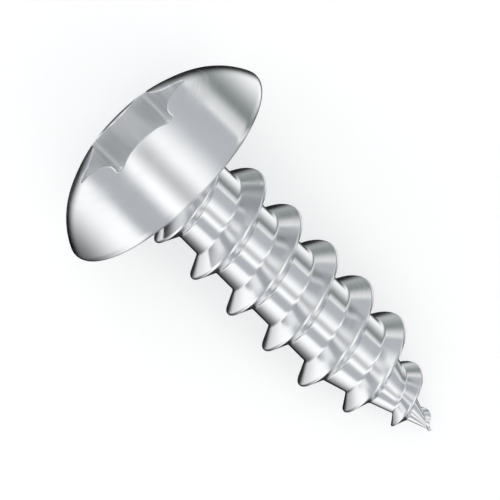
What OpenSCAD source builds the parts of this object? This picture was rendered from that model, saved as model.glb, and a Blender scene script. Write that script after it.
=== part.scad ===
// Truss head self-tapping screw with a six-lobe recess, a coarse right-hand thread and a gimlet point.
// It is one cold-headed and thread-rolled piece, and it lies on the rim of its head and one thread crest.
// The screw is drawn along Z, with the bearing face at Z 0, the point at +Z and the crown at -Z.
// It is then laid over, so that the point is at +X, the head at -X and the floor at Z 0.

/* [Head] */
// Diameter over the rim
head_d = 9.9; // [8.6:0.1:11.8]
// Height from the bearing face to the peak that the crown would have if it ran on over the recess
head_h = 2.7; // [2.5:0.05:3.2]
// Radius of the shoulder, between the crown and the rim
shoulder_r = 3.1; // [2.4:0.1:3.4]
// Angle above the bearing face at which the shoulder faces where it meets the rim
shoulder_end = 24.5; // [15:0.5:35]
// Radius of the round at the rim
rim_r = 0.24; // [0.1:0.01:0.4]
// Radius of the round that flattens the crown towards the recess
land_r = 2.3; // [1.5:0.1:3]
// Length along the shank of the cone that stiffens the corner under the head
neck_len = 0.15; // [0.05:0.01:0.3]

/* [Recess] */
// Distance over two opposite lobes
lobe_across = 5.56; // [4.8:0.02:6]
// Distance over two opposite ridges between the lobes
ridge_across = 3.98; // [3.5:0.02:4.3]
// Radius at the tip of a lobe
lobe_r = 0.22; // [0.15:0.01:0.45]
// Depth of the walls under the ridges
recess_depth = 1.7; // [1.3:0.05:1.9]
// Further depth of the cone in the floor
floor_cone = 0.25; // [0.1:0.05:0.35]
// Width of the flat left on the floor between that cone and the ridges
floor_edge = 0.2; // [0.1:0.05:0.5]

/* [Shank] */
// Length from the bearing face to the point
shank_len = 15.6; // [9.5:0.1:32]
// Diameter of the core between the threads
root_d = 3.18; // [2.8:0.02:3.6]
// Length of the cone that the core ends in
point_len = 4.66; // [3.5:0.02:6]

/* [Thread] */
// Diameter over the crests
thread_d = 4.83; // [4.4:0.01:5.4]
// Rise of one turn
pitch = 2.117; // [1.6:0.001:2.6]
// Angle of each flank to a plane across the screw
flank = 30.8; // [25:0.1:35]
// Width of the crest
crest_w = 0.1; // [0.04:0.01:0.2]
// Distance from the bearing face to the first crest on the upper side
first_crest = 1.19; // [0.6:0.01:2.4]
// Length over which the thread rises to its full height under the head
run_in = 1.9; // [1:0.05:2.5]
// Length over which the thread falls to nothing at the point
run_out = 5.4; // [4:0.1:7]
// Turns that the thread gains in the point, where its pitch closes up
point_gain = 0.5; // [0:0.05:0.6]

/* [Hidden] */

steel = [0.77, 0.78, 0.79];
// Steps in one turn of the thread, in each large round of an outline and in each small one
turn_steps = 72;
round_steps = 12;
small_steps = 6;
// Depth to which the shank is drawn inside the head, and how far other shapes are drawn past the face they meet
sunk = 0.3;
lap = 0.1;
lobes = 6;

head_r = head_d / 2;
root_r = root_d / 2;
thread_h = (thread_d - root_d) / 2;
ridge_at = ridge_across / 2;

// Centres and radii of the arcs in the head's section, with X as radius and Y as height over the bearing face.
// The shoulder is tangent to the rim's round, and the crown is centred on the axis and tangent to the shoulder.
// The last round is tangent to the crown and ends flat at the ridges of the recess.
rim_c = [head_r - rim_r, rim_r];
shoulder_c = rim_c - (shoulder_r - rim_r) * [cos(shoulder_end), sin(shoulder_end)];
peak_over_shoulder = head_h - shoulder_c.y;
crown_r = (pow(shoulder_c.x, 2) + pow(peak_over_shoulder, 2) - pow(shoulder_r, 2))
    / (2 * (peak_over_shoulder - shoulder_r));
crown_c = [0, head_h - crown_r];
crown_end = atan2(shoulder_c.y - crown_c.y, shoulder_c.x);
land_start = acos(ridge_at / (crown_r - land_r));
land_c = [ridge_at, crown_c.y + (crown_r - land_r) * sin(land_start)];
land_h = land_c.y + land_r;

function polar(r, angle) = r * [cos(angle), sin(angle)];
// Points along an arc after its first, which is the last of what comes before
function arc(centre, r, from, to, steps) =
    [for (i = [1 : steps]) centre + polar(r, from + (to - from) * i / steps)];

// The round at the recess, the crown, the shoulder and the rim, from the ridges to the bearing face
head_outline = concat(
    [[ridge_at - lap, land_h]],
    arc(land_c, land_r, 90, land_start, small_steps),
    arc(crown_c, crown_r, land_start, crown_end, round_steps),
    arc(shoulder_c, shoulder_r, crown_end, shoulder_end, round_steps),
    arc(rim_c, rim_r, shoulder_end, 0, small_steps),
    arc(rim_c, rim_r, 0, -90, small_steps)
);

// Thread: its sections follow a helix of even pitch down the core, which closes up in the point.
// Turns are counted from the section at the top of the shank, where the thread starts from nothing.
turns = (shank_len + sunk) / pitch + point_gain;
turns_to_point = (shank_len + sunk - point_len) / pitch;
start_turn = -(sunk + first_crest) / pitch;
last_step = ceil(turn_steps * turns) - 1;
corners = 4;
apex = turn_steps + corners * last_step;

function share(x) = max(0, min(1, x));
function smooth_share(x) = share(x) * share(x) * (3 - 2 * share(x));
function along(turn) = pitch * (turn - point_gain * pow(share((turn - turns_to_point) / (turns - turns_to_point)), 3))
    - sunk;
function core_r(z) = root_r * share((shank_len - z) / point_len);
function height(z) = thread_h * smooth_share((z + sunk) / (run_in + sunk))
    * (1 - pow(1 - share((shank_len - z) / run_out), 3));
function turned(r, turn, z) = [r * cos(360 * turn), r * sin(360 * turn), z];
// A section of the thread has a foot, the two corners of the crest and a foot
function section(turn, z) =
    let (h = height(z), half_crest = crest_w / 2 * h / thread_h, half_foot = half_crest + h * tan(flank))
    [
        turned(core_r(z - half_foot), turn, z - half_foot),
        turned(core_r(z) + h, turn, z - half_crest),
        turned(core_r(z) + h, turn, z + half_crest),
        turned(core_r(z + half_foot), turn, z + half_foot)
    ];
function section_at(i) = section(start_turn + i / turn_steps, along(i / turn_steps));

// Index of corner k of section i: all corners of the first section are one point of the top ring, and past the
// last section they are the point
function corner(i, k) = i <= 0 ? 0 : i > last_step ? apex : turn_steps + corners * (i - 1) + k;
function two_triangles(a, b, c, d) =
    [for (t = [[a, b, c], [a, c, d]]) if (t[0] != t[1] && t[1] != t[2] && t[2] != t[0]) t];

// Angle by which the screw leans when its rim and the lowest crest both touch the floor
function lean_on(p) =
    let (rise_to = head_r - rim_r + p.x, run_to = p.z + rim_r)
    atan2(rise_to, run_to) + asin(rim_r / norm([rise_to, run_to]));
lean = min([for (i = [turn_steps : last_step]) lean_on(section_at(i)[2])]);
axis_h = cos(lean) * (head_r - rim_r) - sin(lean) * rim_r + rim_r;
head_reach = max([for (p = head_outline) p.y * cos(lean) + p.x * sin(lean)]);
point_reach = shank_len * cos(lean);

module head() {
    // Rises from the bearing face to the crown, with a short cone down round the top of the shank. The seam of
    // its surfaces is turned to one side, clear of the line that the screw lies on.
    mirror([0, 0, 1])
        rotate(90)
            rotate_extrude($fn = 96)
                polygon(concat(
                    [[0, land_h]],
                    head_outline,
                    [[root_r + neck_len, 0], [root_r - lap, -neck_len - lap], [0, -neck_len - lap]]
                ));
}

module lobed_outline() {
    // Six round lobes joined by hollow arcs, each tangent to both of its lobes, with a lobe to each side
    lobe_at = lobe_across / 2 - lobe_r;
    half = 180 / lobes;
    hollow_r = (pow(lobe_at, 2) + pow(ridge_at, 2) - 2 * cos(half) * lobe_at * ridge_at - pow(lobe_r, 2))
        / (2 * (cos(half) * lobe_at + lobe_r - ridge_at));
    hollow_at = ridge_at + hollow_r;
    sweep = atan2(hollow_at * sin(half), hollow_at * cos(half) - lobe_at);
    rotate(90)
        polygon([for (n = [0 : lobes - 1]) let (at = 2 * half * n) each concat(
            arc(polar(lobe_at, at), lobe_r, at - sweep, at + sweep, small_steps),
            arc(polar(hollow_at, at + half), hollow_r, at + sweep + 180, at + 2 * half - sweep + 180, small_steps)
        )]);
}

module recess() {
    // Lobed pocket with a shallow cone in its floor, open through the crown
    cone_r = ridge_at - floor_edge;
    translate([0, 0, -land_h - lap])
        linear_extrude(recess_depth + lap)
            lobed_outline();
    translate([0, 0, recess_depth - land_h - lap])
        cylinder(h = floor_cone + lap, r1 = cone_r * (floor_cone + lap) / floor_cone, r2 = 0, $fn = 64);
}

module threaded_shank() {
    // One closed surface: the core, the thread's flanks and crest, and the cone and thread of the point
    ring = [for (i = [0 : turn_steps - 1]) turned(root_r, start_turn + i / turn_steps, -sunk)];
    sections = [for (i = [1 : last_step]) each section_at(i)];
    cap = [for (i = [0 : turn_steps - 1]) i];
    under_head = [for (i = [0 : turn_steps - 1])
        each two_triangles(i, corner(i, 0), corner(i + 1, 0), (i + 1) % turn_steps)];
    ridge = [for (i = [0 : last_step]) for (k = [0 : corners - 2])
        each two_triangles(corner(i, k), corner(i, k + 1), corner(i + 1, k + 1), corner(i + 1, k))];
    core = [for (i = [0 : last_step])
        each two_triangles(corner(i, 3), corner(i + turn_steps, 0), corner(i + 1 + turn_steps, 0), corner(i + 1, 3))];
    polyhedron(points = concat(ring, sections, [[0, 0, shank_len]]), faces = concat([cap], under_head, ridge, core));
}

module screw() {
    color(steel)
        translate([(head_reach - point_reach) / 2, 0, axis_h])
            rotate([0, 90 + lean, 0])
                difference() {
                    union() {
                        head();
                        // Turned so that the first crest is on the upper side
                        rotate(180)
                            threaded_shank();
                    }
                    recess();
                }
}

screw();
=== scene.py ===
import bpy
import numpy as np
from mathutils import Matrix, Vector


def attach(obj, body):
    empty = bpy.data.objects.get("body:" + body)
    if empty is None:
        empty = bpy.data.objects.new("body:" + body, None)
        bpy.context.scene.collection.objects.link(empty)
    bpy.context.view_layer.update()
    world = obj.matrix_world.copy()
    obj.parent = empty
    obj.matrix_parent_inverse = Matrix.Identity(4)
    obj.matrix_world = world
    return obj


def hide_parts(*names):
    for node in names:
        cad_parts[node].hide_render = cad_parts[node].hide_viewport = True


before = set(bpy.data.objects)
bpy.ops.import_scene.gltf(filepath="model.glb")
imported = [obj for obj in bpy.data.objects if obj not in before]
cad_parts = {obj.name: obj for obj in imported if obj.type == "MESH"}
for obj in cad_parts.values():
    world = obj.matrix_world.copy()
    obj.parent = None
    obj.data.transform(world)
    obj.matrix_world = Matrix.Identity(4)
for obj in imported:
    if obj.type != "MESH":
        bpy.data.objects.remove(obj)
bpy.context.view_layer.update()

# A truss head self-tapping screw in bright stainless steel: its surface, finish, light and camera.
# Lengths are in millimetres until a mesh is made or an object is placed, and angles are in degrees.
# The screw is worked out in its own frame, along Z with the bearing face at Z 0, the point at +Z and
# the crown at -Z. It is then laid over on the rim of its head and one thread crest, as the part lies.

MM = 0.001

# Head
HEAD_R = 9.9 / 2
HEAD_H = 2.7  # to the peak that the crown would have if it ran on over the recess
SHOULDER_R = 3.1
SHOULDER_END = 24.5
RIM_R = 0.24
LAND_R = 2.3  # round that flattens the crown towards the recess
NECK_R = 0.24  # round in the corner between the bearing face and the shank

# Recess
LOBES = 6
LOBE_AT = 5.56 / 2  # from the axis to the tip of a lobe
RIDGE_AT = 3.98 / 2  # from the axis to a ridge between lobes
LOBE_R = 0.22
RECESS_DEPTH = 1.7  # under the ridges
FLOOR_CONE = 0.25  # further depth of the cone in the floor
FLOOR_EDGE = 0.2  # flat between that cone and the ridges
LIP_R = 0.035  # round at the mouth
FLOOR_R = 0.08  # round where the walls meet the floor
CONE_RINGS = (1, 0.75, 0.5, 0.25, 0.06)  # shares of the floor cone's radius

# Shank and thread
SHANK_LEN = 15.6
ROOT_R = 3.18 / 2
POINT_LEN = 4.66
THREAD_H = (4.83 - 3.18) / 2
PITCH = 2.117
FLANK = 30.8
CREST_W = 0.1
FIRST_CREST = 1.19  # from the bearing face to the first crest on the upper side
SUNK = 0.3  # how far inside the head the thread starts to rise
RUN_IN = 1.9  # where it has risen to its full height
RUN_OUT = 5.4  # length over which it falls to nothing at the point
POINT_GAIN = 0.5  # turns that it gains in the point, where its pitch closes up
ROOT_ROUND = 0.09  # how far the rounds at its feet reach
CREST_ROUND = 0.045  # how far the rounds at the edges of its crest reach
TIP_LEN = 0.03  # the last of the point, where the thread has ended
TIP_RING = 0.8  # share of that at which the core's last ring lies
LEAST_FLANK = 1e-9  # keeps the shares of a flank's length finite where the thread starts from nothing

# Steps round the screw, and along the parts of its outline
AROUND = 288
LOBE_SHARE = 0.4  # of the steps in each sixth of the recess
FACE_STEPS = 5
ROUND_STEPS = 4
ARC_STEPS = 16
NECK_STEPS = 10
MOUTH_STEPS = 8
WALL_STEPS = 4
FLOOR_STEPS = 3


def cos(angle):
    return np.cos(np.radians(angle))


def sin(angle):
    return np.sin(np.radians(angle))


def share(x):
    return np.clip(x, 0, 1)


def polar(r, angle):
    """The point at distance r and that angle from the origin."""
    return np.stack([r * cos(angle), r * sin(angle)], -1)


def arc(centre, r, start, stop, steps):
    """Points along an arc after its first: centre plus r times the direction, in equal steps of angle."""
    return np.array(centre) + polar(r, np.linspace(start, stop, steps + 1)[1:])


def rounded(before, corner, after):
    """A round over a corner, from the point before it to the point after it: the quadratic curve
    (1-t)^2 before + 2t(1-t) corner + t^2 after. The points may be arrays of points, one for each section."""
    t = np.linspace(0, 1, ROUND_STEPS + 1)[:, None]
    before, corner, after = (np.asarray(point)[..., None, :] for point in (before, corner, after))
    return (1 - t) ** 2 * before + 2 * t * (1 - t) * corner + t ** 2 * after


# Angle of each step round the screw, from the place where the thread leaves the bearing face
start_angle = -360 * FIRST_CREST / PITCH
step_angles = start_angle + np.arange(AROUND) * 360 / AROUND


def ring(r, z):
    """A circle of points round the axis."""
    return np.column_stack([polar(r, step_angles), np.full(AROUND, z)])


# Head: arcs of the section as (radius, height over the bearing face), tangent to each other. The last is
# flat at the ridges of the recess.
rim_c = np.array([HEAD_R - RIM_R, RIM_R])
shoulder_c = rim_c - polar(SHOULDER_R - RIM_R, SHOULDER_END)
peak = HEAD_H - shoulder_c[1]
crown_r = (shoulder_c[0] ** 2 + peak ** 2 - SHOULDER_R ** 2) / (2 * (peak - SHOULDER_R))
crown_c = np.array([0, HEAD_H - crown_r])
crown_start = np.degrees(np.arctan2(shoulder_c[1] - crown_c[1], shoulder_c[0]))
land_start = np.degrees(np.arccos(RIDGE_AT / (crown_r - LAND_R)))
land_c = np.array([RIDGE_AT, crown_c[1] + (crown_r - LAND_R) * sin(land_start)])
land_h = land_c[1] + LAND_R


def head_section():
    """The head's outline as (radius, height), from the corner under the head out over the bearing face, then
    round the rim, the shoulder and the crown to the start of the round at the recess."""
    face = np.linspace(ROOT_R + NECK_R, HEAD_R - RIM_R, FACE_STEPS + 1)
    return np.concatenate([
        np.stack([face, 0 * face], 1),
        arc(rim_c, RIM_R, -90, SHOULDER_END, ARC_STEPS),
        arc(shoulder_c, SHOULDER_R, SHOULDER_END, crown_start, 2 * ARC_STEPS),
        arc(crown_c, crown_r, crown_start, land_start, ARC_STEPS // 2),
    ])


def lobed_outline():
    """The recess's outline and the direction into the metal at each point. A sixth of it is a round lobe and
    a hollow arc. They are tangent, so their centres are as far apart as their two radii together, which by
    the cosine rule gives the hollow's radius."""
    at, ridge, half = LOBE_AT - LOBE_R, RIDGE_AT, 180 / LOBES
    over = at ** 2 + ridge ** 2 - 2 * cos(half) * at * ridge - LOBE_R ** 2
    hollow_r = over / (2 * (cos(half) * at + LOBE_R - ridge))
    hollow_at = ridge + hollow_r
    sweep = np.degrees(np.arctan2(hollow_at * sin(half), hollow_at * cos(half) - at))
    sixths = (step_angles - 90) / (2 * half)
    lobe = 90 + 2 * half * np.round(sixths)
    part = 2 * (sixths - np.round(sixths))
    side, part = np.sign(part), np.abs(part)
    on_lobe = lobe + side * sweep * share(part / LOBE_SHARE)
    on_hollow = lobe + side * (sweep + (half - sweep) * share((part - LOBE_SHARE) / (1 - LOBE_SHARE)))
    in_lobe = part < LOBE_SHARE
    into_metal = polar(1, np.where(in_lobe, on_lobe, on_hollow))
    outline = np.where(
        in_lobe[:, None],
        polar(at, lobe) + LOBE_R * polar(1, on_lobe),
        polar(hollow_at, lobe + side * half) - hollow_r * polar(1, on_hollow),
    )
    return outline, into_metal


def recess_rows():
    """Rings of points from the crown's last ring into the recess: in over the last round of the head to the
    mouth, over the lip, down the walls, round their foot, across the floor and down its shallow cone."""
    outline, into_metal = lobed_outline()
    floor_z = RECESS_DEPTH - land_h
    cone_r = RIDGE_AT - FLOOR_EDGE

    def on_head(points):
        out = np.linalg.norm(points, axis=1) - RIDGE_AT
        return np.column_stack([points, -land_c[1] - np.sqrt(LAND_R ** 2 - out ** 2)])

    def on_floor(points, up=0):
        return np.column_stack([points, np.full(AROUND, floor_z - up)])

    def between(start, end, steps):
        return [start + (end - start) * w for w in np.linspace(0, 1, steps + 1)[1:-1]]

    edge = outline + LIP_R * into_metal
    top = between(polar(crown_r * cos(land_start), step_angles), edge, MOUTH_STEPS)
    lip = rounded(on_head(edge), on_head(outline), on_head(outline) + [0, 0, LIP_R])
    foot = rounded(on_floor(outline, FLOOR_R), on_floor(outline), on_floor(outline - FLOOR_R * into_metal))
    lip, foot = (list(np.moveaxis(bend, 1, 0)) for bend in (lip, foot))
    cone = [ring(cone_r * w, floor_z + FLOOR_CONE * (1 - w)) for w in CONE_RINGS]
    return [
        *(on_head(points) for points in top), *lip, *between(lip[-1], foot[0], WALL_STEPS),
        *foot, *between(foot[-1], cone[0], FLOOR_STEPS), *cone,
    ]


# Thread: turns are counted from where its crest leaves the bearing face
turns_to_point = (SHANK_LEN - POINT_LEN) / PITCH
all_turns = SHANK_LEN / PITCH + POINT_GAIN


def along(turn):
    """How far down the shank the crest is: an even pitch, which closes up in the point by a cube."""
    into_point = share((turn - turns_to_point) / (all_turns - turns_to_point))
    return PITCH * (turn - POINT_GAIN * into_point ** 3)


def core_r(z):
    """Radius of the core: even, then a cone to the point."""
    return ROOT_R * share((SHANK_LEN - z) / POINT_LEN)


def thread_h(z):
    """Height of the thread: it rises under the head by a smooth step and falls in the point by a cube. Near
    the bearing face it is no more than the distance from it."""
    rise = share((z + SUNK) / (RUN_IN + SUNK))
    fall = 1 - (1 - share((SHANK_LEN - z) / RUN_OUT)) ** 3
    return np.minimum(THREAD_H * rise ** 2 * (3 - 2 * rise) * fall, z)


def neck_r(z):
    """Radius of the round under the head, a quarter circle that meets the bearing face and the core."""
    return ROOT_R + NECK_R - np.sqrt(NECK_R ** 2 - (NECK_R - np.clip(z, 0, NECK_R)) ** 2)


def thread_sections(turn):
    """Sections of the thread as (distance down the shank, radius), one for each turn value: foot, flank,
    crest, flank and foot, with a round over each corner. The first foot and edge are nearer the head."""
    z = along(turn)
    h = thread_h(z)
    size = h / THREAD_H
    half_crest = CREST_W / 2 * size
    half_foot = half_crest + h * np.tan(np.radians(FLANK))

    def on_core(at):
        at = np.clip(at, 0, SHANK_LEN - TIP_LEN)
        return np.stack([at, core_r(at)], -1)

    foot, far_foot = (on_core(z + side * half_foot) for side in (-1, 1))
    edge, far_edge = (np.stack([z + side * half_crest, core_r(z) + h], -1) for side in (-1, 1))
    flank = np.maximum(np.linalg.norm(edge - foot, axis=1), LEAST_FLANK)
    on_flank = (ROOT_ROUND * size / flank)[:, None]
    off_edge = (CREST_ROUND * size / flank)[:, None]
    on_crest = np.stack([CREST_ROUND * size, 0 * size], -1)
    return np.concatenate([
        rounded(on_core(foot[:, 0] - ROOT_ROUND * size), foot, foot + (edge - foot) * on_flank),
        rounded(edge + (foot - edge) * off_edge, edge, edge + on_crest),
        rounded(far_edge - on_crest, far_edge, far_edge + (far_foot - far_edge) * off_edge),
        rounded(far_foot + (far_edge - far_foot) * on_flank, far_foot,
                on_core(far_foot[:, 0] + ROOT_ROUND * size)),
    ], 1)


def turned(sections, angles):
    """Puts (distance down the shank, radius) pairs at an angle, one angle for each row of them. Under the
    head nothing is thinner than the round there."""
    z = sections[..., 0]
    r = np.maximum(sections[..., 1], np.where(z < NECK_R, neck_r(z), 0))
    return np.concatenate([polar(r, np.broadcast_to(angles[:, None], r.shape)), z[..., None]], -1)


def patch(at, steps, columns):
    """Faces of a grid, where at(i, k) is the index of the point at step i and column k. Each has its corners
    in the order that points it outwards."""
    i, k = (grid.ravel() for grid in np.meshgrid(np.arange(steps), np.arange(columns), indexing="ij"))
    return np.stack([at(i + 1, k), at(i + 1, k + 1), at(i, k + 1), at(i, k)], 1)


def run(points):
    """How far each point of a row is from its first, measured along the row."""
    return np.concatenate([[0], np.cumsum(np.linalg.norm(np.diff(points, axis=0), axis=1))])


def screw_surface():
    """The whole screw as one closed grid: rings for the head and the recess, and a helix of sections for the
    shank, where the end of each section meets the start of the one a turn further on. Returns the points,
    the four corners of each face, each point's distance across the marks left by the tools, and whether the
    punch that sank the recess made it, which is also where the steel is painted lighter as painted light
    against the shade in the recess."""
    section = head_section()
    rows = np.stack([ring(r, -h) for r, h in section] + recess_rows())
    rings = len(rows)
    middle = [[0, 0, RECESS_DEPTH + FLOOR_CONE - land_h]]

    # The thread's sections, the neck from the bearing face to its first turn, and the ring and the apex of
    # the point
    turns = np.arange(1, int(all_turns * AROUND)) / AROUND
    turns = turns[along(turns) < SHANK_LEN - TIP_LEN]
    helix = turned(thread_sections(turns), start_angle + 360 * turns)
    steps, columns = helix.shape[:2]
    down = helix[:AROUND - 1, 0, 2:] * (np.arange(1, NECK_STEPS) / NECK_STEPS) ** 2
    neck = turned(np.stack([down, np.full_like(down, ROOT_R)], -1), step_angles[1:])
    tip_z = SHANK_LEN - TIP_LEN * TIP_RING
    tip_angles = step_angles + 360 * (steps + 1) / AROUND
    tip = np.column_stack([polar(core_r(tip_z), tip_angles), np.full(AROUND, tip_z)])
    blocks = [rows, middle, neck, helix, tip, [[0, 0, SHANK_LEN]]]
    blocks = [np.reshape(block, (-1, 3)) for block in blocks]
    middle_at, neck_at, helix_at, tip_at, apex_at, count = np.cumsum([len(block) for block in blocks])

    # Index of each point. The recess's last ring goes in to the middle of its floor. The helix is one point
    # of the ring on the bearing face before its first section, and the ring at the tip past its last one.
    def on_head(k, i):
        return np.where(k == rings, middle_at, k * AROUND + i % AROUND)

    def on_helix(i, k):
        i = np.where(k == columns, i + AROUND, i)
        inside = helix_at + (i - 1) * columns + k % columns
        past = tip_at + (i - steps - 1) % AROUND
        return np.where(i < 1, 0, np.where(i > steps, past, inside))

    def on_neck(i, k):
        on_face = (k == 0) | (i % AROUND == 0)
        inside = neck_at + (i - 1) * (NECK_STEPS - 1) + k - 1
        return np.where(k == NECK_STEPS, on_helix(i, 0), np.where(on_face, i % AROUND, inside))

    def on_tip(i, k):
        return np.where(k == 1, apex_at, tip_at + i % AROUND)

    quads = np.concatenate([
        patch(on_head, rings, AROUND),
        patch(on_neck, AROUND, NECK_STEPS),
        patch(on_helix, steps + 1, columns),
        patch(on_tip, AROUND, 1),
    ])

    # Distance across the marks: down the section on the head, and across the thread's section on the helix.
    # The punch made all that lies below the lip of the recess.
    head_run = run(rows[:, 0])
    thread_run = run(thread_sections(np.array([turns_to_point / 2]))[0])
    across = np.concatenate([
        np.repeat(head_run, AROUND), head_run[-1:], neck[..., 2].ravel(),
        np.tile(thread_run, steps), np.zeros(AROUND + 1),
    ])
    below_lip = len(section) + MOUTH_STEPS - 1 + ROUND_STEPS
    # Painted light: this mask of the punched recess also paints its steel lighter, against the shade in it
    punched_and_painted_lighter = np.zeros(count)
    punched_and_painted_lighter[below_lip * AROUND:neck_at] = 1
    return np.concatenate(blocks), quads, across, punched_and_painted_lighter


def lean():
    """The angle to the floor at which the screw rests: the least, over the thread's crest, at which the
    rim's round and a point of the crest both touch the floor."""
    turns = np.arange(AROUND, all_turns * AROUND) / AROUND
    z = along(turns)
    rise = HEAD_R - RIM_R + (core_r(z) + thread_h(z)) * cos(start_angle + 360 * turns)
    down = z + CREST_W / 2 * thread_h(z) / THREAD_H + RIM_R
    return np.degrees((np.arctan2(rise, down) + np.arcsin(RIM_R / np.hypot(rise, down))).min())


leans = lean()
# The screw's own X, Y and Z as they lie in the world, and its origin, the middle of the bearing face
own_x = np.array([sin(leans), 0, cos(leans)])
own_y = np.array([0, -1, 0])
own_z = np.array([cos(leans), 0, -sin(leans)])
head_reach = land_c @ [sin(leans), cos(leans)] + LAND_R
origin = np.array([
    (head_reach - SHANK_LEN * cos(leans)) / 2,
    0,
    cos(leans) * (HEAD_R - RIM_R) - sin(leans) * RIM_R + RIM_R,
])


def laid(points):
    """Points of the screw's own frame, in metres, where the screw lies."""
    return (origin + points @ np.stack([own_x, own_y, own_z])) * MM


# Camera: straight on to the drawing's view, which tips the crown 20 degrees towards the viewer and runs the
# screw from the upper left to the lower right. A long lens, because the drawing has no perspective.
VIEW_TILT = 20
FRAME_WIDTH = 19.56
LENS = 400
SENSOR = 36
AIM = (-0.02, 4.725)  # the middle of the picture, sideways from the axis and down the shank
camera_tip = VIEW_TILT - leans
to_camera = (-sin(camera_tip), 0, cos(camera_tip))


def place_camera():
    back = Vector(to_camera)
    down_screw = Vector((cos(camera_tip), 0, sin(camera_tip)))
    side = Vector((0, 1, 0))
    right, up = (side + down_screw).normalized(), (side - down_screw).normalized()
    middle = Vector(laid(np.array([[0, -AIM[0], AIM[1]]]))[0])
    camera = bpy.data.objects.new("camera", bpy.data.cameras.new("camera"))
    camera.data.lens = LENS
    camera.data.sensor_width = SENSOR
    camera.data.clip_start = 0.01
    camera.data.clip_end = 10
    turn = Matrix((right, up, back)).transposed().to_4x4()
    camera.matrix_world = Matrix.Translation(middle + back * FRAME_WIDTH * MM * LENS / SENSOR) @ turn
    bpy.context.scene.collection.objects.link(camera)
    bpy.context.scene.camera = camera


def add(tree, kind, inputs=(), **settings):
    """Adds a node to a tree. A setting is an attribute of the node, and an input is a value or a link, which
    goes by its name, or by its number where several share a name."""
    made = tree.nodes.new(kind)
    for name, value in settings.items():
        setattr(made, name, value)
    for name, value in dict(inputs).items():
        if isinstance(value, bpy.types.NodeSocket):
            tree.links.new(value, made.inputs[name])
        else:
            made.inputs[name].default_value = value
    return made


# Sockets of a Mix node, by number
FACTOR = 0
NUMBER_A, NUMBER_B, NUMBER_OUT = 2, 3, 0
COLOUR_A, COLOUR_B, COLOUR_OUT = 6, 7, 2


def linear(hex_colour):
    """A linear colour, with alpha, from an sRGB hex value."""
    parts = np.array([int(hex_colour[i:i + 2], 16) / 255 for i in (1, 3, 5)])
    parts = np.where(parts <= 0.04045, parts / 12.92, ((parts + 0.055) / 1.055) ** 2.4)
    return (*parts.tolist(), 1)


def empty_material(name):
    material = bpy.data.materials.new(name)
    material.use_nodes = True
    material.node_tree.nodes.clear()
    return material, material.node_tree


# Steel
BRIGHT_STEEL = "#eff0f1"
GREYER_STEEL = "#e6e7e9"
RECESS_PAINTED_LIGHTER = "#f4f5f6"  # painted light: a lighter steel that makes up for the shade in the recess, where each bounce from wall to wall takes some of the light
BRIGHT_ROUGH = (0.12, 0.2)
RECESS_ROUGH = (0.3, 0.4)  # the punch leaves the walls duller
MARK_WIDTH = 0.09  # real marks are about 0.02 wide, and are drawn wider so that they show
MARK_LEN = 6
MARK_DEPTH = 0.0005
WAVE_WIDTH = 1.8
WAVE_DEPTH = 0.0008
NOISE_RANGE = (0.3, 0.7)  # most of a noise texture lies between these
ANISOTROPY = 0.7


def rolled_stainless():
    """Bright stainless steel, cold headed and thread rolled. The dies leave it smooth, with fine marks round
    the screw, which draw each reflection out along the axis, and faint waves, which bend it. The walls of
    the recess are duller, and show only soft tones. Their colour is painted lighter, a painted light that
    makes up for the shade between them."""
    material, tree = empty_material("rolled_stainless_steel")
    lay = add(tree, "ShaderNodeAttribute", attribute_name="lay").outputs["Vector"]
    fine = add(tree, "ShaderNodeMapping", {
        "Vector": lay, "Scale": (1 / MARK_WIDTH, 1 / MARK_LEN, 1 / MARK_LEN)}).outputs[0]
    marks = add(tree, "ShaderNodeTexNoise", {"Vector": fine, "Scale": 1, "Detail": 3, "Roughness": 0.6})
    place = add(tree, "ShaderNodeTexCoord").outputs["Object"]
    waves = add(tree, "ShaderNodeTexNoise", {
        "Vector": place, "Scale": 1 / (WAVE_WIDTH * MM), "Detail": 2, "Roughness": 0.4})
    broad = add(tree, "ShaderNodeBump", {
        "Strength": 1, "Distance": WAVE_DEPTH * MM, "Height": waves.outputs["Fac"]})
    bump = add(tree, "ShaderNodeBump", {
        "Strength": 1, "Distance": MARK_DEPTH * MM, "Height": marks.outputs["Fac"],
        "Normal": broad.outputs[0]})
    # The recess's mask serves a real finish and painted light: it makes the walls rougher, and it also
    # paints them a lighter steel against their shade
    punched_and_painted_lighter = add(tree, "ShaderNodeAttribute", attribute_name="punched_and_painted_lighter").outputs["Fac"]
    least, most = (
        add(tree, "ShaderNodeMix", {
            FACTOR: punched_and_painted_lighter, NUMBER_A: outside, NUMBER_B: inside}).outputs[NUMBER_OUT]
        for outside, inside in zip(BRIGHT_ROUGH, RECESS_ROUGH))
    rough = add(tree, "ShaderNodeMapRange", {
        "Value": marks.outputs["Fac"], "From Min": NOISE_RANGE[0], "From Max": NOISE_RANGE[1],
        "To Min": least, "To Max": most})
    colour = add(tree, "ShaderNodeMix", {
        FACTOR: waves.outputs["Fac"], COLOUR_A: linear(BRIGHT_STEEL),
        COLOUR_B: linear(GREYER_STEEL)}, data_type="RGBA")
    # Painted light: the recess is painted a lighter steel, to make up for the shade between its walls
    colour = add(tree, "ShaderNodeMix", {
        FACTOR: punched_and_painted_lighter, COLOUR_A: colour.outputs[COLOUR_OUT],
        COLOUR_B: linear(RECESS_PAINTED_LIGHTER)}, data_type="RGBA")
    tangent = add(tree, "ShaderNodeTangent", direction_type="UV_MAP", uv_map="grain")
    steel = add(tree, "ShaderNodeBsdfPrincipled", {
        "Base Color": colour.outputs[COLOUR_OUT], "Metallic": 1, "Roughness": rough.outputs[0],
        "Anisotropic": ANISOTROPY, "Tangent": tangent.outputs[0], "Normal": bump.outputs[0]})
    add(tree, "ShaderNodeOutputMaterial", {"Surface": steel.outputs[0]})
    return material


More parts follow.
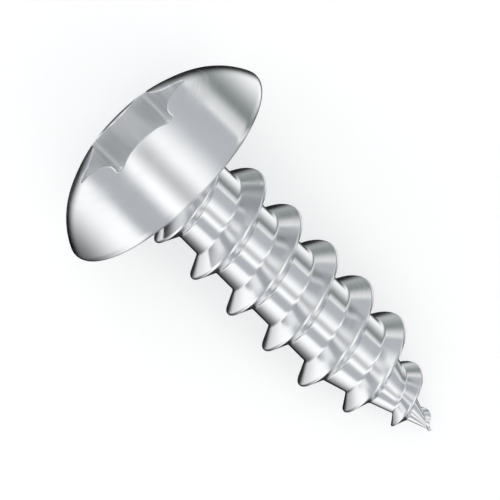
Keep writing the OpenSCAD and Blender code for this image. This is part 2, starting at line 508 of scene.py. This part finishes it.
def closed_mesh(name, points, quads):
    """A mesh of those faces. A face with two corners on one point becomes a triangle."""
    same = quads == np.roll(quads, -1, 1)
    doubled = same.sum(1)
    faces = quads[doubled == 0].tolist()
    for corner in range(4):
        faces += np.delete(quads[(doubled == 1) & same[:, corner]], corner, 1).tolist()
    mesh = bpy.data.meshes.new(name)
    mesh.from_pydata(points.tolist(), [], faces)
    mesh.shade_smooth()
    return mesh


def add_grain(mesh, points, across):
    """A UV map whose U runs down the screw's outline and whose V runs round it: the share of a full turn,
    times the way round the core. V carries on past a full turn within a face."""
    corner_of = np.zeros(len(mesh.loops), np.int32)
    mesh.loops.foreach_get("vertex_index", corner_of)
    starts = np.zeros(len(mesh.polygons), np.int32)
    mesh.polygons.foreach_get("loop_start", starts)
    own = points[corner_of]
    down = np.where(own[:, 2] > 0, own[:, 2], -across[corner_of])
    turn = np.arctan2(own[:, 1], own[:, 0]) / (2 * np.pi) % 1
    most = np.repeat(np.maximum.reduceat(turn, starts), np.diff(np.append(starts, len(turn))))
    turn += most - turn > 0.5
    grain = mesh.uv_layers.new(name="grain")
    in_order = np.stack([down, turn * 2 * np.pi * ROOT_R], 1).astype(np.float32).ravel()
    grain.uv.foreach_set("vector", in_order)


def finished_screw():
    """The screw in its finish. Its mesh carries the grain, the lay of the marks and what the punch made,
    which also says where the steel is painted lighter, as painted light against the shade in the recess. The
    first part of the lay runs across the marks and the others along them, with the distance down the shank
    added to the last, so that no two turns are marked alike."""
    points, quads, across, punched_and_painted_lighter = screw_surface()
    mesh = closed_mesh("finished_screw", laid(points), quads)
    add_grain(mesh, points, across)
    lay = mesh.attributes.new("lay", "FLOAT_VECTOR", "POINT")
    place = np.stack([across, points[:, 0], points[:, 1] + np.maximum(points[:, 2], 0)], 1)
    lay.data.foreach_set("vector", place.astype(np.float32).ravel())
    # The punch's mask, which also carries the painted light that makes the recess's steel lighter
    recess = mesh.attributes.new("punched_and_painted_lighter", "FLOAT", "POINT")
    recess.data.foreach_set("value", punched_and_painted_lighter.astype(np.float32))

    screw = bpy.data.objects.new("finished_screw", mesh)
    bpy.context.scene.collection.objects.link(screw)
    screw.data.materials.append(rolled_stainless())
    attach(screw, "root")
    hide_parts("screw")


# Studio: strips of light and of grey card, bent so that from the camera their reflections in the head run
# straight down it. Each has its place, as a share of the head's radius from the axis towards +Y, and its
# brightness and tint, and they blend into one another.
PLAIN = (1, 1, 1)
COOL = (0.93, 0.96, 1)
GREENISH = (0.91, 1, 1)
STUDIO = [
    ("left dark card", -1, 0.14, COOL),
    ("left softbox", -0.64, 1.18, PLAIN),
    ("left softbox's inner edge", -0.57, 1.18, PLAIN),
    ("left grey card", -0.46, 0.55, COOL),
    ("left grey card's inner edge", -0.32, 0.55, COOL),
    ("middle tube", -0.19, 1.24, PLAIN),
    ("gap between the tubes", -0.05, 0.62, PLAIN),
    ("wide tube", 0.1, 1.15, PLAIN),
    ("right grey card", 0.36, 0.58, COOL),
    ("right grey card's outer edge", 0.53, 0.56, COOL),
    ("thin tube", 0.57, 0.95, PLAIN),
    ("thin tube's outer edge", 0.62, 0.8, PLAIN),
    ("green-grey card", 0.71, 0.28, GREENISH),
    ("right softbox", 1, 1.15, PLAIN),
]
BRIGHTEST = 1.24
# The studio darkens behind the screw, which lines its edges, and out beyond its point. The first is set by
# the length of a ray's way added to the way to the camera, and the second by the slope of the steel that
# sends the ray there, which is 1 where it faces the point. Each goes from one value to the other between
# two limits.
BEHIND = {"From Min": 0.38, "From Max": 0.72, "To Min": 0.03, "To Max": 1}
BEYOND_POINT = {"From Min": 0.38, "From Max": 0.56, "To Min": 1, "To Max": 0.7}


def studio_world():
    """White for the camera, and for all other rays the studio. A ray's half way vector to the camera is the
    normal of the steel that sends it there. The strips are set by its part along Y, times the head's radius
    at that slope over the whole of its part across the axis, so they run straight down the head."""
    world = bpy.data.worlds.new("studio")
    bpy.context.scene.world = world
    world.use_nodes = True
    tree = world.node_tree
    tree.nodes.clear()

    # The half way vector, its length before it is made 1, its slope and its part along Y
    way = add(tree, "ShaderNodeTexCoord").outputs["Generated"]
    half = add(tree, "ShaderNodeVectorMath", {0: way, 1: to_camera}, operation="ADD").outputs[0]
    length = add(tree, "ShaderNodeVectorMath", {0: half}, operation="LENGTH").outputs["Value"]
    half = add(tree, "ShaderNodeVectorMath", {0: half}, operation="NORMALIZE").outputs[0]
    slope = add(tree, "ShaderNodeVectorMath", {0: half, 1: tuple(own_z)}, operation="DOT_PRODUCT")
    slope = slope.outputs["Value"]
    across = add(tree, "ShaderNodeSeparateXYZ", {0: half}).outputs["Y"]

    # The head's radius over the normal's part across the axis, which is the square root of 1 - slope^2. Each
    # arc of the section gives its own radius, plus its centre's distance from the axis over that part.
    square = add(tree, "ShaderNodeMath", {0: slope, 1: slope}, operation="MULTIPLY").outputs[0]
    rest = add(tree, "ShaderNodeMath", {0: 1, 1: square}, operation="SUBTRACT").outputs[0]
    inverse = add(tree, "ShaderNodeMath", {0: rest}, operation="INVERSE_SQRT").outputs[0]
    shoulder, land = (
        add(tree, "ShaderNodeMath", {
            0: inverse, 1: centre[0], 2: radius}, operation="MULTIPLY_ADD").outputs[0]
        for centre, radius in ((shoulder_c, SHOULDER_R), (land_c, LAND_R)))
    ratio = add(tree, "ShaderNodeMath", {0: shoulder, 1: crown_r}, operation="MINIMUM").outputs[0]
    ratio = add(tree, "ShaderNodeMath", {0: ratio, 1: land}, operation="MAXIMUM").outputs[0]
    place = add(tree, "ShaderNodeMath", {0: across, 1: ratio}, operation="MULTIPLY").outputs[0]

    # The strips' places go from -1 to 1, and a colour ramp's from 0 to 1
    place = add(tree, "ShaderNodeMath", {
        0: place, 1: 0.5 / HEAD_R, 2: 0.5}, operation="MULTIPLY_ADD").outputs[0]
    strips = add(tree, "ShaderNodeValToRGB", {0: place})
    strips.color_ramp.interpolation = "EASE"
    for name, at, brightness, tint in STUDIO[1:-1]:
        strips.color_ramp.elements.new((at + 1) / 2)
    for element, (name, at, brightness, tint) in zip(strips.color_ramp.elements, STUDIO):
        element.position = (at + 1) / 2
        element.color = (*(part * brightness / BRIGHTEST for part in tint), 1)
    behind, beyond = (
        add(tree, "ShaderNodeMapRange", {
            "Value": value, **limits}, interpolation_type="SMOOTHSTEP").outputs[0]
        for value, limits in ((length, BEHIND), (slope, BEYOND_POINT)))
    level = add(tree, "ShaderNodeMath", {0: behind, 1: beyond}, operation="MULTIPLY").outputs[0]
    level = add(tree, "ShaderNodeMath", {0: level, 1: BRIGHTEST}, operation="MULTIPLY").outputs[0]
    studio = add(tree, "ShaderNodeBackground", {"Color": strips.outputs[0], "Strength": level})
    white = add(tree, "ShaderNodeBackground", {"Color": (1, 1, 1, 1), "Strength": 1})
    path = add(tree, "ShaderNodeLightPath")
    seen = add(tree, "ShaderNodeMixShader", {
        0: path.outputs["Is Camera Ray"], 1: studio.outputs[0], 2: white.outputs[0]})
    add(tree, "ShaderNodeOutputWorld", {"Surface": seen.outputs[0]})


TABLE_WHITE = "#e8e8e8"
TABLE_GLOW = 0.39
TABLE_HALF = 1.5  # metres


def table():
    """A matt white light table. It keeps the screw's shadow, and its own light makes it white to the camera.
    The steel sees through it to the studio's strips, which pass on below."""
    material, tree = empty_material("matt_white_card")
    matt = add(tree, "ShaderNodeBsdfDiffuse", {"Color": linear(TABLE_WHITE)})
    path = add(tree, "ShaderNodeLightPath")
    glow = add(tree, "ShaderNodeMath", {
        0: path.outputs["Is Camera Ray"], 1: TABLE_GLOW}, operation="MULTIPLY")
    own = add(tree, "ShaderNodeEmission", {"Color": (1, 1, 1, 1), "Strength": glow.outputs[0]})
    both = add(tree, "ShaderNodeAddShader", {0: matt.outputs[0], 1: own.outputs[0]})
    clear = add(tree, "ShaderNodeBsdfTransparent")
    top = add(tree, "ShaderNodeMixShader", {
        0: path.outputs["Is Glossy Ray"], 1: both.outputs[0], 2: clear.outputs[0]})
    add(tree, "ShaderNodeOutputMaterial", {"Surface": top.outputs[0]})
    corners = [(x * TABLE_HALF, y * TABLE_HALF, 0) for x, y in ((-1, -1), (1, -1), (1, 1), (-1, 1))]
    mesh = bpy.data.meshes.new("table")
    mesh.from_pydata(corners, [], [(0, 1, 2, 3)])
    floor = bpy.data.objects.new("table", mesh)
    bpy.context.scene.collection.objects.link(floor)
    floor.data.materials.append(material)


bpy.context.scene.view_settings.view_transform = "Standard"
place_camera()
studio_world()
table()
finished_screw()
